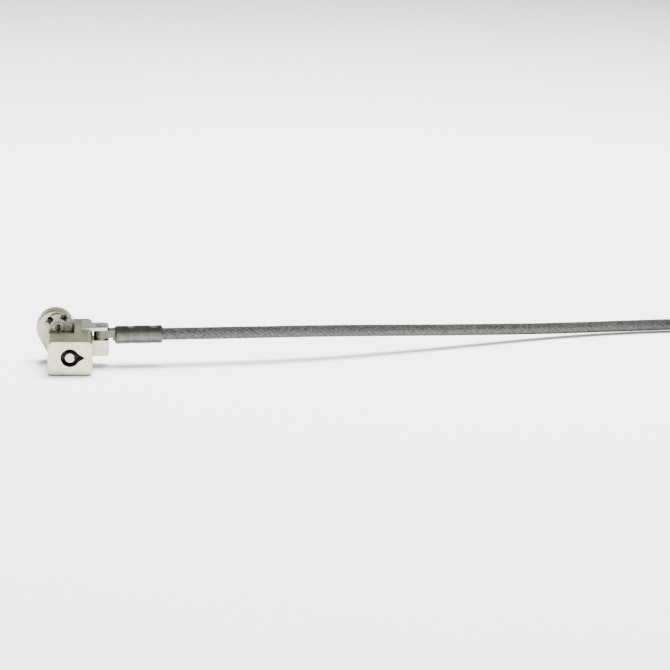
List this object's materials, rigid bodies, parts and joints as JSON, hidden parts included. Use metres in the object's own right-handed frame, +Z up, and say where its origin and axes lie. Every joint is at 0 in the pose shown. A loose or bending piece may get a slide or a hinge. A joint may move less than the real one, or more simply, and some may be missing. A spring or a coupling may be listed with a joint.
{
  "type": "laptop cable lock",
  "caption": "Tubular-key cable lock with a T-bar nose for a computer security slot, a hinged cable link and a looped steel cable.",
  "frame": {"origin": "middle of the barrel's flat underside, which stands on the desk", "axes": "+Z up; +Y from the keyway's face towards the computer, along the key axis; +X along the computer's side, the way the cable leaves"},
  "size_m": [0.3698, 0.0543, 0.0154],
  "materials": {
    "satin_nickel": "satin nickel plate over die-cast zinc",
    "bright_nickel": "bright nickel plate",
    "hardened_steel": "turned hardened steel",
    "spring_steel": "drawn spring wire",
    "brass": "turned brass",
    "blackened_steel": "black oxide, greased",
    "sintered_steel": "sintered steel gear",
    "ferrule_nickel": "nickel-plated crimped steel",
    "wire_rope": "stranded steel rope under a thin clear coat",
    "swage_aluminium": "pressed aluminium",
    "strap_fabric": "woven hook-and-loop strap"
  },
  "bodies": {
    "cable": {"hinge_link": "ferrule_nickel", "ferrule": "ferrule_nickel", "cable": "wire_rope", "cable_coil": "wire_rope", "coil_strap": "strap_fabric", "cable_tail": "wire_rope", "loop_sleeve": "swage_aluminium", "end_loop": "wire_rope"},
    "head": {"housing": "satin_nickel", "rear_cover": "satin_nickel", "cover_screws": "hardened_steel", "guard_pins": "hardened_steel", "upper_ear": "bright_nickel", "ear_rivets": "bright_nickel", "hinge_pin": "hardened_steel", "hinge_washers": "hardened_steel", "driver_sleeve": "brass", "cross_pin": "hardened_steel", "driver_pins": "brass", "pin_springs": "spring_steel"},
    "plug": {"key_plug": "blackened_steel", "centre_post": "bright_nickel", "key_pins": "blackened_steel", "drive_gear": "sintered_steel", "plug_clip": "spring_steel"},
    "spindle": {"t_bar_spindle": "hardened_steel", "driven_gear": "sintered_steel", "spindle_drum": "satin_nickel", "drum_eyelet": "bright_nickel"}
  },
  "joints": [
    {"name": "cable_hinge", "type": "hinge", "parent": "cable", "child": "head", "pos_m": [0.0087, 0.002, 0.008], "axis": [0, 0, 1], "range_deg": [-76, 84]},
    {"name": "key_turn", "type": "hinge", "parent": "head", "child": "plug", "pos_m": [0, 0, 0.0052], "axis": [0, 1, 0], "range_deg": [0, 90]},
    {"name": "t_bar_turn", "type": "hinge", "parent": "head", "child": "spindle", "pos_m": [-0.0034, 0, 0.01074], "axis": [0, 1, 0], "range_deg": [-90, 0]}
  ],
  "couplings": [
    {"joint": "t_bar_turn", "follows": "key_turn", "ratio": -1}
  ]
}
